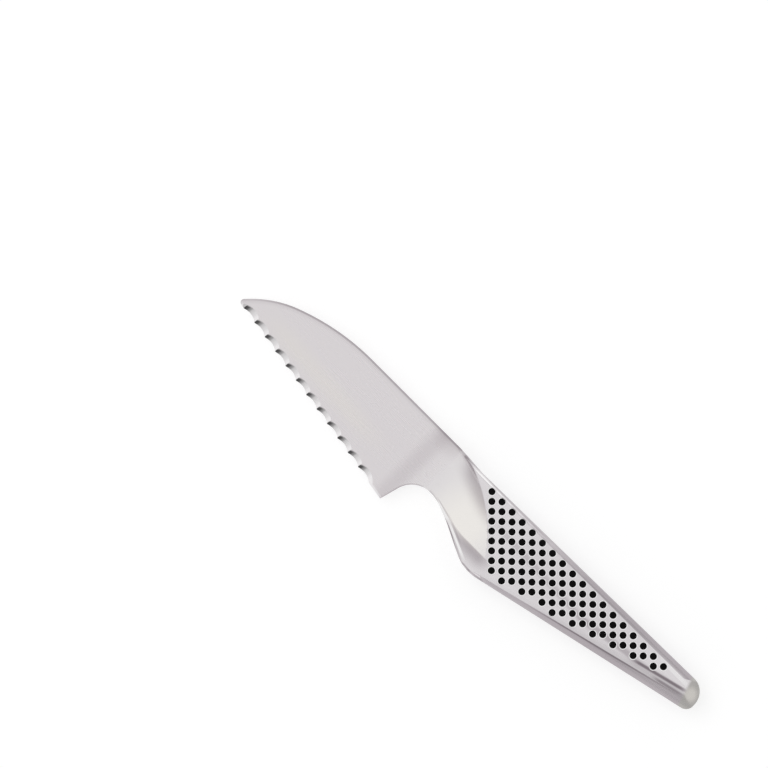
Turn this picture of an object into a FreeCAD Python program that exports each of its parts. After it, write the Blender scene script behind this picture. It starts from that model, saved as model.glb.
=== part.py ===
"""Tomato knife: a serrated steel blade welded to a hollow steel handle.

Millimetres.  The sheet "sizes" holds every driving dimension.  The pieces are
drawn in the knife's own layout frame: the sharp corner that the blunt tip is
rounded from is at (0, 0), X runs along the spine to the butt, Y to the spine,
Z out of the toothed face, and Z = 0 is the seam plane.  Each finished piece is
then placed so that the part lies on its plain side, centred on the origin.
"""
import FreeCAD, Part
import math
import os
import Sketcher

V = FreeCAD.Vector
doc = FreeCAD.newDocument("tomato_knife")

SIZES = {
    # blade outline
    "edge_length": 81.9,
    "edge_angle": 9.4,
    "tip_angle": 46.0,
    "tip_radius": 1.2,
    "nose_run": 9.2,
    "nose_radius": 38.0,
    "spine_run": 32.4,
    "spine_radius": 82.0,
    "spine_height": 17.5,
    # neck and handle outline, lengths taken from the heel
    "heel_rake": 3.5,
    "notch_radius": 8.8,
    "neck_width": 17.6,
    "neck_run": 9.5,
    "neck_radius": 12.0,
    "flare_run": 7.0,
    "flare_drop": 2.6,
    "flare_radius": 30.0,
    "belly_run": 16.1,
    "belly_drop": 7.9,
    "belly_radius": 14.4,
    "shoulder_run": 7.7,
    "shoulder_slope_run": 10.0,
    "shoulder_drop": 0.7,
    "shoulder_radius": 30.0,
    "handle_length": 122.5,
    "butt_rise": 0.9,
    "butt_width": 9.6,
    "butt_spine_radius": 6.0,
    "butt_belly_radius": 3.0,
    # section of the blade
    "spine_thickness": 1.8,
    "heel_thickness": 0.6,
    "tip_thickness": 0.7,
    # section of the handle
    "handle_thickness": 11.0,
    "scoop_start": 0.7,
    "ridge_spine_run": 4.6,
    "ridge_belly_run": 42.5,
    "ridge_radius": 49.2,
    "ridge_over_spine": 0.6,
    "spine_side_width_at_neck": 0.9,
    "spine_side_width": 2.9,
    "spine_side_drop": 3.0,
    "spine_side_bulge": 40.0,
    # belly facet and belly side, as width in from the outline and drop from the face
    "facet_width_at_neck": 3.9,
    "facet_drop_at_neck": 4.1,
    "facet_width_at_flare": 7.8,
    "facet_drop_at_flare": 4.5,
    "facet_width_at_bend": 9.7,
    "facet_drop_at_bend": 3.6,
    "facet_width_at_belly": 8.4,
    "facet_drop_at_belly": 2.8,
    "facet_width_at_run": 2.6,
    "facet_drop_at_run": 0.5,
    "facet_width_at_butt": 5.9,
    "facet_drop_at_butt": 1.6,
    "facet_bulge": 14.0,
    "side_width_at_neck": 4.6,
    "side_drop_at_neck": 4.5,
    "side_width_at_flare": 4.7,
    "side_drop_at_flare": 4.6,
    "side_width_at_bend": 3.7,
    "side_drop_at_bend": 3.7,
    "side_width_at_belly": 3.2,
    "side_drop_at_belly": 3.3,
    "side_width_at_run": 1.4,
    "side_drop_at_run": 3.1,
    "side_width_at_butt": 4.4,
    "side_drop_at_butt": 3.4,
    "side_bulge": 24.0,
    "side_start": 2.0,
    "run_start": 5.0,
    "butt_slant": 45.0,
    "butt_side_width": 6.0,
    "butt_side_drop": 3.5,
    "butt_side_bulge": 36.0,
    # serration
    "scallop_count": 12,
    "scallop_pitch": 5.93,
    "scallop_depth": 0.8,
    "scallop_angle": 22.0,
    "scallop_first": 6.9,
    "bevel_angle": 35.0,
    "bevel_land": 0.12,
    # joints inside
    "joint_run": 8.5,
    "weld_width": 1.0,
    "tang_length": 12.0,
    "tang_width": 10.0,
    "tang_thickness": 1.0,
    "tang_drop": 9.0,
    "seam_depth": 0.6,
    "seam_width": 0.8,
    "wall": 1.2,
    "side_wall": 2.1,
    "nose_solid": 5.0,
    "butt_solid": 8.0,
    "cavity_corner": 2.0,
    "plug_diameter": 4.0,
    "plug_drop": 5.5,
    "sand_level": 1.0,
    # dimples
    "dimple_run": 24.6,
    "dimple_drop": 2.85,
    "dimple_pitch": 4.8,
    "dimple_row_pitch": 2.34,
    "dimple_row_shift": 2.31,
    "dimple_row_tilt": 0.6,
    "dimple_diameter": 2.2,
    "dimple_rim": 2.9,
    "dimple_rim_depth": 0.25,
    "dimple_depth": 0.65,
    "dimple_margin_at_belly": 2.25,
    "dimple_margin_at_butt": 6.45,
    "dimple_field_end": 15.5,
    "lacquer_thickness": 0.15,
}

sheet = doc.addObject("Spreadsheet::Sheet", "sizes")
for row, (name, value) in enumerate(SIZES.items(), start=1):
    sheet.set("A%d" % row, name)
    sheet.set("B%d" % row, str(value))
    sheet.setAlias("B%d" % row, name)
doc.recompute()


def number(words):
    """The value of a formula over the sheet's names."""
    return float(sheet.evalExpression(words))


# Places in the layout frame, as formulas over the sheet.
HEEL_X = "(sizes.edge_length * cos(sizes.edge_angle))"
HEEL_Y = "(-sizes.edge_length * sin(sizes.edge_angle))"
NECK_Y = "(sizes.spine_height - sizes.neck_width)"
NOTCH_X = f"({HEEL_X} + sizes.heel_rake)"
NECK_X = f"({NOTCH_X} + sizes.neck_run)"
FLARE_X = f"({NECK_X} + sizes.flare_run)"
FLARE_Y = f"({NECK_Y} - sizes.flare_drop)"
BELLY_X = f"({FLARE_X} + sizes.belly_run)"
BELLY_Y = f"({FLARE_Y} - sizes.belly_drop)"
BUTT_X = f"({HEEL_X} + sizes.handle_length)"
BUTT_TOP_Y = "(sizes.spine_height + sizes.butt_rise)"
BUTT_LOW_Y = f"({BUTT_TOP_Y} - sizes.butt_width)"
SHOULDER_X = f"({HEEL_X} + sizes.shoulder_run)"
CROWN_X = f"({SHOULDER_X} + sizes.shoulder_slope_run)"
CROWN_Y = "(sizes.spine_height - sizes.shoulder_drop)"
CROWN_SLOPE = f"(({BUTT_TOP_Y} - {CROWN_Y}) / ({BUTT_X} - {CROWN_X}))"
BELLY_SLOPE = f"(({BUTT_LOW_Y} - {BELLY_Y}) / ({BUTT_X} - {BELLY_X}))"
FACE_Z = "(sizes.handle_thickness / 2)"
JOINT_X = f"({HEEL_X} + sizes.joint_run)"
SHELL_X = f"({JOINT_X} + sizes.weld_width / 2)"
SPARE = "5"
REACH = "150"

# The blade's face is a plane through its half thickness at three corners.
FACE_RISE = (f"((sizes.spine_thickness - sizes.heel_thickness) / 2"
             f" / (sizes.spine_height - {HEEL_Y}))")
FACE_RUN = (f"((sizes.heel_thickness / 2 - {FACE_RISE} * {HEEL_Y}"
            f" - sizes.tip_thickness / 2) / {HEEL_X})")
SCOOP_X = f"({HEEL_X} + sizes.scoop_start)"


def blade_face(x, y):
    """Height of the blade's face over the seam plane."""
    return f"(sizes.tip_thickness / 2 + {FACE_RUN} * {x} + {FACE_RISE} * {y})"


def crown_line(x):
    """Spine side of the handle's outline at x."""
    return f"({CROWN_Y} + ({x} - {CROWN_X}) * {CROWN_SLOPE})"


def belly_line(x):
    """Straight belly side of the handle's outline at x."""
    return f"({BELLY_Y} + ({x} - {BELLY_X}) * {BELLY_SLOPE})"


# The ridge, where the scooped neck meets the handle's face, is an arc in plan
# from just over the spine to the level of the belly.
RIDGE_TOP = (f"({SCOOP_X} + sizes.ridge_spine_run)",
             "(sizes.spine_height + sizes.ridge_over_spine)")
RIDGE_LOW = (f"({SCOOP_X} + sizes.ridge_belly_run)", BELLY_Y)
RIDGE_DX = f"({RIDGE_LOW[0]} - {RIDGE_TOP[0]})"
RIDGE_DY = f"({RIDGE_LOW[1]} - {RIDGE_TOP[1]})"
RIDGE_REACH = f"sqrt(sizes.ridge_radius ^ 2 / ({RIDGE_DX} ^ 2 + {RIDGE_DY} ^ 2) - 0.25)"
RIDGE_CX = f"(({RIDGE_LOW[0]} + {RIDGE_TOP[0]}) / 2 + {RIDGE_DY} * {RIDGE_REACH})"
RIDGE_CY = f"(({RIDGE_LOW[1]} + {RIDGE_TOP[1]}) / 2 - {RIDGE_DX} * {RIDGE_REACH})"


def ridge_x(y):
    """The ridge's place along the knife at height y."""
    return f"({RIDGE_CX} + sqrt(sizes.ridge_radius ^ 2 - ({y} - {RIDGE_CY}) ^ 2))"


KNIFE_OUTLINE = [
    ("0", "0", "sizes.tip_radius"),
    (HEEL_X, HEEL_Y, None),
    (NOTCH_X, NECK_Y, "sizes.notch_radius"),
    (NECK_X, NECK_Y, "sizes.neck_radius"),
    (FLARE_X, FLARE_Y, "sizes.flare_radius"),
    (BELLY_X, BELLY_Y, "sizes.belly_radius"),
    (BUTT_X, BUTT_LOW_Y, "sizes.butt_belly_radius"),
    (BUTT_X, BUTT_TOP_Y, "sizes.butt_spine_radius"),
    (CROWN_X, CROWN_Y, "sizes.shoulder_radius"),
    (SHOULDER_X, "sizes.spine_height", "sizes.shoulder_radius"),
    ("sizes.spine_run", "sizes.spine_height", "sizes.spine_radius"),
    ("sizes.nose_run", "(sizes.nose_run * tan(sizes.tip_angle))", "sizes.nose_radius"),
]


def pin(sketch, geometry, end, x, y):
    """Hold a point of the sketch at a place given by two formulas."""
    for kind, words in (("DistanceX", x), ("DistanceY", y)):
        index = sketch.addConstraint(
            Sketcher.Constraint(kind, -1, 1, geometry, end, number(words)))
        sketch.setExpression("Constraints[%d]" % index, words)


def set_radius(sketch, geometry, words):
    """Hold a round edge's radius at a formula."""
    index = sketch.addConstraint(Sketcher.Constraint("Radius", geometry, number(words)))
    sketch.setExpression("Constraints[%d]" % index, words)


def rounded_outline(sketch, corners):
    """A closed outline of straight runs, with an arc at each corner that has a radius."""
    places = [V(number(x), number(y), 0) for x, y, radius in corners]
    count = len(corners)
    starts, ends, arcs = [], [], []
    for i, (x, y, radius) in enumerate(corners):
        before = (places[i - 1] - places[i]).normalize()
        after = (places[(i + 1) % count] - places[i]).normalize()
        reach, arc = 0.0, None
        if radius:
            half = before.getAngle(after) / 2
            reach = number(radius) / math.tan(half)
            centre = places[i] + (before + after).normalize() * (number(radius) / math.sin(half))
            first, last = places[i] + before * reach, places[i] + after * reach
            left = before.cross(after).z < 0
            turn = [math.atan2(p.y - centre.y, p.x - centre.x) for p in (first, last)]
            if not left:
                turn.reverse()
            circle = Part.Circle(centre, V(0, 0, 1), number(radius))
            arc = (Part.ArcOfCircle(circle, turn[0], turn[1]), left)
        ends.append(places[i] + before * reach)
        starts.append(places[i] + after * reach)
        arcs.append(arc)
    lines = [sketch.addGeometry(Part.LineSegment(starts[i], ends[(i + 1) % count]))
             for i in range(count)]
    for i, (x, y, radius) in enumerate(corners):
        line_in, line_out = lines[i - 1], lines[i]
        if arcs[i] is None:
            sketch.addConstraint(Sketcher.Constraint("Coincident", line_in, 2, line_out, 1))
            pin(sketch, line_out, 1, x, y)
            continue
        arc, left = arcs[i]
        bend = sketch.addGeometry(arc)
        near, far = (1, 2) if left else (2, 1)
        sketch.addConstraint(Sketcher.Constraint("Tangent", line_in, 2, bend, near))
        sketch.addConstraint(Sketcher.Constraint("Tangent", bend, far, line_out, 1))
        set_radius(sketch, bend, radius)
        corner = sketch.addGeometry(Part.Point(places[i]), True)
        sketch.addConstraint(Sketcher.Constraint("PointOnObject", corner, 1, line_in))
        sketch.addConstraint(Sketcher.Constraint("PointOnObject", corner, 1, line_out))
        pin(sketch, corner, 1, x, y)


def arc_profile(sketch, points, radius, centre_left):
    """A closed profile: an arc from the first point to the second, then straight runs."""
    places = [V(number(x), number(y), 0) for x, y in points]
    a, b = places[0], places[1]
    size = number(radius)
    chord = b - a
    side = V(-chord.y, chord.x, 0).normalize() * (1 if centre_left else -1)
    centre = (a + b) * 0.5 + side * math.sqrt(size ** 2 - chord.Length ** 2 / 4)
    first, last = (a, b) if centre_left else (b, a)
    turn = [math.atan2(p.y - centre.y, p.x - centre.x) for p in (first, last)]
    arc = sketch.addGeometry(Part.ArcOfCircle(Part.Circle(centre, V(0, 0, 1), size), *turn))
    near, far = (1, 2) if centre_left else (2, 1)
    tail = arc
    tail_end = far
    for i in range(1, len(places)):
        line = sketch.addGeometry(Part.LineSegment(places[i], places[(i + 1) % len(places)]))
        sketch.addConstraint(Sketcher.Constraint("Coincident", tail, tail_end, line, 1))
        pin(sketch, line, 1, *points[i])
        tail, tail_end = line, 2
    sketch.addConstraint(Sketcher.Constraint("Coincident", tail, 2, arc, near))
    pin(sketch, arc, near, *points[0])
    set_radius(sketch, arc, radius)


def body_sketch(body, name, role, offset="0"):
    """A sketch on one of its body's own planes, moved along the plane's normal."""
    sketch = body.newObject("Sketcher::SketchObject", name)
    plane = [f for f in body.Origin.OriginFeatures if f.Role == role][0]
    sketch.AttachmentSupport = [(plane, "")]
    sketch.MapMode = "FlatFace"
    sketch.setExpression("AttachmentOffset.Base.z", offset)
    return sketch


def bound(obj, **formulas):
    """Bind an object's properties to formulas."""
    for prop, words in formulas.items():
        obj.setExpression(prop, words)
    return obj


def bulge_radius(width, drop, angle):
    """Radius of an arc over a corner cut of the given legs that turns by the angle."""
    return f"(sqrt(({width}) ^ 2 + ({drop}) ^ 2) / (2 * sin({angle} / 2)))"


def scoop_sections(body):
    """Profiles of the space over the neck, one for each height across the knife."""
    shares_of_belly = (1.35, 0.5)
    shares_of_spine = (0.15, 0.5, 0.75, 0.92, 1)
    stations = [f"({BELLY_Y} * {share})" for share in shares_of_belly]
    stations += [f"({RIDGE_TOP[1]} * {share})" for share in shares_of_spine]
    low_x = f"({SCOOP_X} - 1)"
    top_z = f"({FACE_Z} + {SPARE})"
    for i, y in enumerate(stations):
        sketch = body_sketch(body, "scoop_%d" % i, "XZ_Plane", f"-{y}")
        low = blade_face(SCOOP_X, y)
        run, rise = f"({ridge_x(y)} - {SCOOP_X})", f"({FACE_Z} - {low})"
        arc_profile(sketch,
                    [(SCOOP_X, low), (ridge_x(y), FACE_Z), (ridge_x(y), top_z),
                     (low_x, top_z), (low_x, low)],
                    f"(({run} ^ 2 + {rise} ^ 2) / (2 * {rise}))", True)
        yield sketch


def side_profile(sketch, u, inward, width, drop, angle):
    """Profile of what is cut from one side's upper corner, over the arc left there."""
    top = f"({FACE_Z} + {SPARE})"
    low = f"({FACE_Z} - {drop})"
    outside = f"({u} - ({inward}) * {SPARE})"
    inside = f"({u} + ({inward}) * {width})"
    arc_profile(sketch, [(u, low), (inside, FACE_Z), (inside, top), (outside, top), (outside, low)],
                bulge_radius(width, drop, angle), inward < 0)


def side_sketches(body, name, stations, inward, angle):
    """Side profiles across the knife at stations of x, outline, width and drop."""
    for i, (x, edge, width, drop) in enumerate(stations):
        sketch = body_sketch(body, "%s_%d" % (name, i), "YZ_Plane", x)
        side_profile(sketch, edge, inward, width, drop, angle)
        yield sketch


def cut_loft(body, name, sketches, ruled=False):
    """Cut a loft through the sketches from the body."""
    sketches = list(sketches)
    loft = body.newObject("PartDesign::SubtractiveLoft", name)
    loft.Profile = sketches[0]
    loft.Sections = [(s, [""]) for s in sketches[1:]]
    loft.Ruled = ruled
    check_cut(body, name)
    return loft


def check_cut(body, name):
    """Rebuild, and stop if the newest cut took nothing from its body."""
    before = body.Tip.BaseFeature.Shape.Volume
    doc.recompute()
    if body.Shape.isNull() or body.Shape.Volume >= before - 0.01:
        raise RuntimeError("%s cuts nothing" % name)


def between(a, b, share):
    """The formula a share of the way from one formula to another."""
    return f"({a} + ({b} - {a}) * {share})"


def relieve_blade(body):
    """Take the half body down to the blade's slightly wedged face, up to the neck."""
    face = body_sketch(body, "blade_face", "XY_Plane")
    face.setExpression("AttachmentOffset.Base.z", None)
    face.setExpression(
        "AttachmentOffset",
        f"placement(vector({SCOOP_X}; 0; {blade_face(SCOOP_X, '0')});"
        f" rotation(0; -atan({FACE_RUN}); atan({FACE_RISE})))")
    far = f"(-{SCOOP_X} - {SPARE})"
    low = f"(2 * {HEEL_Y})"
    high = "(2 * sizes.spine_height)"
    rounded_outline(face, [("0", low, None), ("0", high, None), (far, high, None),
                           (far, low, None)])
    pocket = body.newObject("PartDesign::Pocket", "blade_relief")
    pocket.Profile = face
    pocket.Reversed = True
    bound(pocket, Length="sizes.handle_thickness")
    check_cut(body, "blade_relief")


def round_belly_side(body):
    """Two cuts along the belly: a broad facet that ends at a crease, then the side itself."""
    run_start, run_end = f"({BELLY_X} + sizes.run_start)", f"({BUTT_X} + {SPARE})"
    bend_share, belly_share = 0.62, 0.9
    places = {
        "neck": (f"({NECK_X} - sizes.side_start)", NECK_Y),
        "flare": (FLARE_X, FLARE_Y),
        "bend": (between(FLARE_X, BELLY_X, bend_share), between(FLARE_Y, BELLY_Y, bend_share)),
        "belly": (between(FLARE_X, BELLY_X, belly_share), between(FLARE_Y, BELLY_Y, belly_share)),
        "run": (run_start, belly_line(run_start)),
        "butt": (run_end, belly_line(run_end)),
    }
    for name in ("facet", "side"):
        stations = [(*place, f"sizes.{name}_width_at_{where}", f"sizes.{name}_drop_at_{where}")
                    for where, place in places.items()]
        angle = f"sizes.{name}_bulge"
        cut_loft(body, name + "_bend",
                 side_sketches(body, name + "_bend_at", stations[:-1], 1, angle))
        cut_loft(body, name + "_run",
                 side_sketches(body, name + "_run_at", stations[-2:], 1, angle), True)


def round_spine_side(body):
    """Round the spine side of the handle in one straight run."""
    start, end = f"({SHOULDER_X} - {SPARE})", f"({BUTT_X} + {SPARE})"
    drop = "sizes.spine_side_drop"
    stations = [(start, crown_line(start), "sizes.spine_side_width_at_neck", drop),
                (end, crown_line(end), "sizes.spine_side_width", drop)]
    cut_loft(body, "spine_side", side_sketches(body, "spine_side_at", stations, -1,
                                               "sizes.spine_side_bulge"), True)


def round_butt(body):
    """Round the butt's end towards the spine side."""
    sketch = body_sketch(body, "butt_profile", "XZ_Plane")
    sketch.setExpression("AttachmentOffset.Base.z", None)
    centre = (f"({BUTT_X} - sizes.butt_spine_radius)", f"({BUTT_TOP_Y} - sizes.butt_spine_radius)")
    sketch.setExpression(
        "AttachmentOffset",
        f"placement(vector({centre[0]}; 0; -{centre[1]}); rotation(0; sizes.butt_slant; 0))")
    side_profile(sketch, "sizes.butt_spine_radius", -1, "sizes.butt_side_width",
                 "sizes.butt_side_drop", "sizes.butt_side_bulge")
    pocket = body.newObject("PartDesign::Pocket", "butt_round")
    pocket.Profile = sketch
    pocket.Midplane = True
    bound(pocket, Length="(4 * sizes.butt_width)")
    check_cut(body, "butt_round")


def upper_form():
    """Outer form of the half knife over the seam plane: blade, neck and handle in one."""
    body = doc.addObject("PartDesign::Body", "upper_form")
    plan = body_sketch(body, "upper_plan", "XY_Plane")
    rounded_outline(plan, KNIFE_OUTLINE)
    pad = body.newObject("PartDesign::Pad", "upper_pad")
    pad.Profile = plan
    bound(pad, Length=FACE_Z)
    doc.recompute()
    relieve_blade(body)
    cut_loft(body, "neck_scoop", scoop_sections(body))
    round_spine_side(body)
    round_belly_side(body)
    round_butt(body)
    return body


def plain_sketch(name, z="0"):
    """A sketch in the plan view at height z, for the plain extrusions."""
    sketch = doc.addObject("Sketcher::SketchObject", name)
    sketch.setExpression("Placement.Base.z", z)
    return sketch


def extrusion(name, base, height, taper=None):
    """A solid swept up from a flat shape."""
    solid = doc.addObject("Part::Extrusion", name)
    solid.Base = base
    solid.DirMode = "Custom"
    solid.Dir = V(0, 0, 1)
    solid.Solid = True
    bound(solid, LengthFwd=height)
    if taper:
        bound(solid, TaperAngle=taper)
    return solid


def block(name, x, y, z, length, width, height):
    """A box from its lowest corner and its three sides."""
    box = doc.addObject("Part::Box", name)
    bound(box, Length=length, Width=width, Height=height)
    box.setExpression("Placement.Base.x", x)
    box.setExpression("Placement.Base.y", y)
    box.setExpression("Placement.Base.z", z)
    return box


def pair(kind, name, base, tool):
    """A cut or a common of two objects."""
    result = doc.addObject("Part::%s" % kind, name)
    result.Base = base
    result.Tool = tool
    return result


def fuse(name, parts, refine=True):
    """Several objects fused."""
    result = doc.addObject("Part::MultiFuse", name)
    result.Shapes = parts
    result.Refine = refine
    return result


def mirrored(name, source):
    """An object's mirror image in the seam plane."""
    result = doc.addObject("Part::Mirroring", name)
    result.Source = source
    result.Normal = V(0, 0, 1)
    return result


def slab(name, start, end):
    """A box that takes in everything of the knife between two places along it."""
    return block(name, start, f"(-{REACH})", f"(-{REACH})", f"({end} - {start})",
                 f"(2 * {REACH})", f"(2 * {REACH})")


def dimple_places():
    """Centres of one side's dimples, in rows along the handle, each row about half a
    pitch on from the row above it."""
    pitch_x = number("sizes.dimple_pitch * cos(sizes.dimple_row_tilt)")
    pitch_y = number("-sizes.dimple_pitch * sin(sizes.dimple_row_tilt)")
    shift, drop = number("sizes.dimple_row_shift"), number("sizes.dimple_row_pitch")
    first = V(number(f"{HEEL_X} + sizes.dimple_run"),
              number("sizes.spine_height - sizes.dimple_drop"))
    end = number(f"{BUTT_X} - sizes.dimple_field_end")
    start_x, butt_x = number(BELLY_X), number(BUTT_X)
    start_y = number(f"{BELLY_Y} + sizes.dimple_margin_at_belly")
    butt_y = number(f"{BUTT_LOW_Y} + sizes.dimple_margin_at_butt")
    slope = (butt_y - start_y) / (butt_x - start_x)
    for row in range(int((first.y - start_y) / drop) + 1):
        for column in range(int((end - first.x) / pitch_x) + 1):
            x = first.x + column * pitch_x + row * shift
            y = first.y + column * pitch_y - row * drop
            if x <= end and y >= start_y + (x - start_x) * slope:
                yield V(x, y, 0)


def dimple_circles(name, diameter, z):
    """A sketch with one circle at every dimple."""
    sketch = plain_sketch(name, z)
    radius = number(diameter) / 2
    for centre in dimple_places():
        sketch.addGeometry(Part.Circle(centre, V(0, 0, 1), radius))
    set_radius(sketch, 0, f"({diameter} / 2)")
    for i in range(1, sketch.GeometryCount):
        sketch.addConstraint(Sketcher.Constraint("Equal", 0, i))
    return sketch


def bevel_edge(body):
    """Grind the toothed face down to a thin land along the cutting edge."""
    sketch = body_sketch(body, "bevel_profile", "XY_Plane")
    sketch.setExpression("AttachmentOffset.Base.z", None)
    back = f"(-{blade_face(HEEL_X, HEEL_Y)})"
    sketch.setExpression(
        "AttachmentOffset",
        f"placement(vector(-{SPARE} * cos(sizes.edge_angle); {SPARE} * sin(sizes.edge_angle);"
        f" {back}); rotation(90 - sizes.edge_angle; 0; 90))")
    reach = "(2 * sizes.heel_thickness)"
    land = "sizes.bevel_land"
    rise = f"({land} + {reach} * tan(sizes.bevel_angle))"
    high = f"({rise} + {SPARE})"
    rounded_outline(sketch, [("0", land, None), (reach, rise, None), (reach, high, None),
                             (f"(-{SPARE})", high, None), (f"(-{SPARE})", land, None)])
    pocket = body.newObject("PartDesign::Pocket", "edge_bevel")
    pocket.Profile = sketch
    pocket.Reversed = True
    bound(pocket, Length=f"(sizes.edge_length + 1.5 * {SPARE})")
    check_cut(body, "edge_bevel")


def scalloped_blade(blank):
    """The blade with its row of hollow-ground teeth, ground from one face only."""
    body = doc.addObject("PartDesign::Body", "blade_body")
    body.BaseFeature = blank
    doc.recompute()
    bevel_edge(body)
    sketch = body_sketch(body, "scallop_circle", "XY_Plane")
    sketch.setExpression("AttachmentOffset.Base.z", None)
    along = ("cos(sizes.edge_angle)", "-sin(sizes.edge_angle)")
    inward = ("sin(sizes.edge_angle)", "cos(sizes.edge_angle)")
    deepest = [f"(sizes.scallop_first * {along[i]} + sizes.scallop_depth * {inward[i]})"
               for i in (0, 1)]
    back = f"(-{blade_face(deepest[0], deepest[1])})"
    sketch.setExpression(
        "AttachmentOffset",
        f"placement(vector({deepest[0]}; {deepest[1]}; {back});"
        f" rotation(-sizes.edge_angle; 0; -90 + sizes.scallop_angle))")
    radius = ("(sizes.scallop_pitch ^ 2 / (8 * sizes.scallop_depth"
              " * sin(sizes.scallop_angle)))")
    sketch.addGeometry(Part.Circle(V(0, -number(radius), 0), V(0, 0, 1), number(radius)))
    pin(sketch, 0, 3, "0", f"(-{radius})")
    set_radius(sketch, 0, radius)
    pocket = body.newObject("PartDesign::Pocket", "scallop")
    pocket.Profile = sketch
    pocket.Midplane = True
    bound(pocket, Length=f"(4 * {SPARE})")
    check_cut(body, "scallop")
    row = body.newObject("PartDesign::LinearPattern", "scallop_row")
    row.Originals = [pocket]
    row.Direction = (sketch, ["H_Axis"])
    bound(row, Length="(sizes.scallop_pitch * (sizes.scallop_count - 1))",
          Occurrences="sizes.scallop_count")
    body.Tip = row
    doc.recompute()
    return body


def cavity():
    """The hollow of the handle, both halves together."""
    sketch = plain_sketch("cavity_plan", f"(sizes.wall - {FACE_Z})")
    end = f"({BUTT_X} - sizes.butt_solid)"
    inset = "sizes.side_wall"
    corner = "sizes.cavity_corner"
    rounded_outline(sketch, [
        (CROWN_X, f"({crown_line(CROWN_X)} - {inset})", corner),
        (BELLY_X, f"({belly_line(BELLY_X)} + {inset})", corner),
        (end, f"({belly_line(end)} + {inset})", corner),
        (end, f"({crown_line(end)} - {inset})", corner),
    ])
    prism = extrusion("cavity_prism", sketch, f"(2 * ({FACE_Z} - sizes.wall))")
    nose = doc.addObject("Part::Cylinder", "cavity_nose")
    bound(nose, Radius="(sizes.ridge_radius + sizes.nose_solid)", Height=f"(2 * {REACH})")
    nose.setExpression("Placement.Base.x", RIDGE_CX)
    nose.setExpression("Placement.Base.y", RIDGE_CY)
    nose.setExpression("Placement.Base.z", f"(-{REACH})")
    return pair("Cut", "cavity", prism, nose)


def seam_ring(plug):
    """The weld bead that closes the seam between the shells, flush with them."""
    plan = plain_sketch("seam_plan", "(-sizes.seam_width / 2)")
    rounded_outline(plan, KNIFE_OUTLINE)
    band = extrusion("seam_band", plan, "sizes.seam_width")
    inner = doc.addObject("Part::Offset2D", "seam_inner")
    inner.Source = plan
    inner.Fill = False
    bound(inner, Value="(-sizes.seam_depth)")
    core = extrusion("seam_core", inner, "sizes.seam_width")
    ring = pair("Cut", "seam_hoop", band, core)
    ring = pair("Common", "seam_open", ring, slab("seam_zone", SHELL_X, f"({BUTT_X} + {SPARE})"))
    return pair("Cut", "seam_bead", ring, plug)


upper = upper_form()
whole = fuse("whole_form", [upper, mirrored("lower_form", upper)])

tang = block("tang", f"({JOINT_X} - sizes.weld_width / 2)",
             "(sizes.spine_height - sizes.tang_drop - sizes.tang_width / 2)",
             "(-sizes.tang_thickness / 2)",
             "(sizes.weld_width + sizes.tang_length)", "sizes.tang_width", "sizes.tang_thickness")
weld_start = f"({JOINT_X} - sizes.weld_width / 2)"
front = pair("Common", "blade_front", whole, slab("blade_zone", f"(-{SPARE})", weld_start))
blade = scalloped_blade(fuse("blade_blank", [front, tang]))

weld_ring = pair("Common", "weld_slice", whole, slab("weld_zone", weld_start, SHELL_X))
neck_weld = pair("Cut", "weld_round", weld_ring, tang)

handle_zone = slab("handle_zone", SHELL_X, f"({BUTT_X} + {SPARE})")
hollow = cavity()
bore = doc.addObject("Part::Cylinder", "plug_bore")
bound(bore, Radius="(sizes.plug_diameter / 2)", Height=f"(sizes.butt_solid + {SPARE})")
bore.Placement = FreeCAD.Placement(V(0, 0, 0), FreeCAD.Rotation(V(0, 1, 0), 90))
bore.setExpression("Placement.Base.x", f"({BUTT_X} - sizes.butt_solid)")
bore.setExpression("Placement.Base.y", f"({BUTT_TOP_Y} - sizes.plug_drop)")
plug = pair("Common", "plug", whole, bore)
seam = seam_ring(bore)

blank = pair("Common", "shell_blank", upper, handle_zone)
hollows = fuse("shell_hollows", [hollow, tang, bore], False)
shell = pair("Cut", "shell_hollowed", blank, hollows)
shell = pair("Cut", "shell_rabbet", shell, seam)
floor_z = f"({FACE_Z} - sizes.dimple_depth)"
pits = extrusion("dimple_pits", dimple_circles("pit_circles", "sizes.dimple_diameter", floor_z),
                 "(2 * sizes.dimple_depth)")
shell = pair("Cut", "shell_pitted", shell, pits)
rims = extrusion("dimple_rims", dimple_circles("rim_circles", "sizes.dimple_diameter",
                                               f"({FACE_Z} - sizes.dimple_rim_depth)"),
                 "sizes.dimple_rim_depth",
                 "atan((sizes.dimple_rim - sizes.dimple_diameter) / 2 / sizes.dimple_rim_depth)")
shell = pair("Cut", "shell_dimpled", shell, rims)
lacquer = extrusion("lacquer", dimple_circles("lacquer_circles", "sizes.dimple_diameter", floor_z),
                    "sizes.lacquer_thickness")
settled = block("sand_zone", "0", f"(-{REACH})", f"(-{REACH})", f"(2 * {REACH})",
                f"(2 * {REACH})", f"({REACH} - sizes.sand_level)")
sand = pair("Common", "sand", hollow, settled)

PARTS = {
    "blade": blade,
    "neck_weld": neck_weld,
    "left_handle_shell": shell,
    "right_handle_shell": mirrored("right_shell", shell),
    "seam_weld": seam,
    "filler_plug": plug,
    "sand_ballast": sand,
    "left_dimple_lacquer": lacquer,
    "right_dimple_lacquer": mirrored("lacquer_mirror", lacquer),
}

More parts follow.
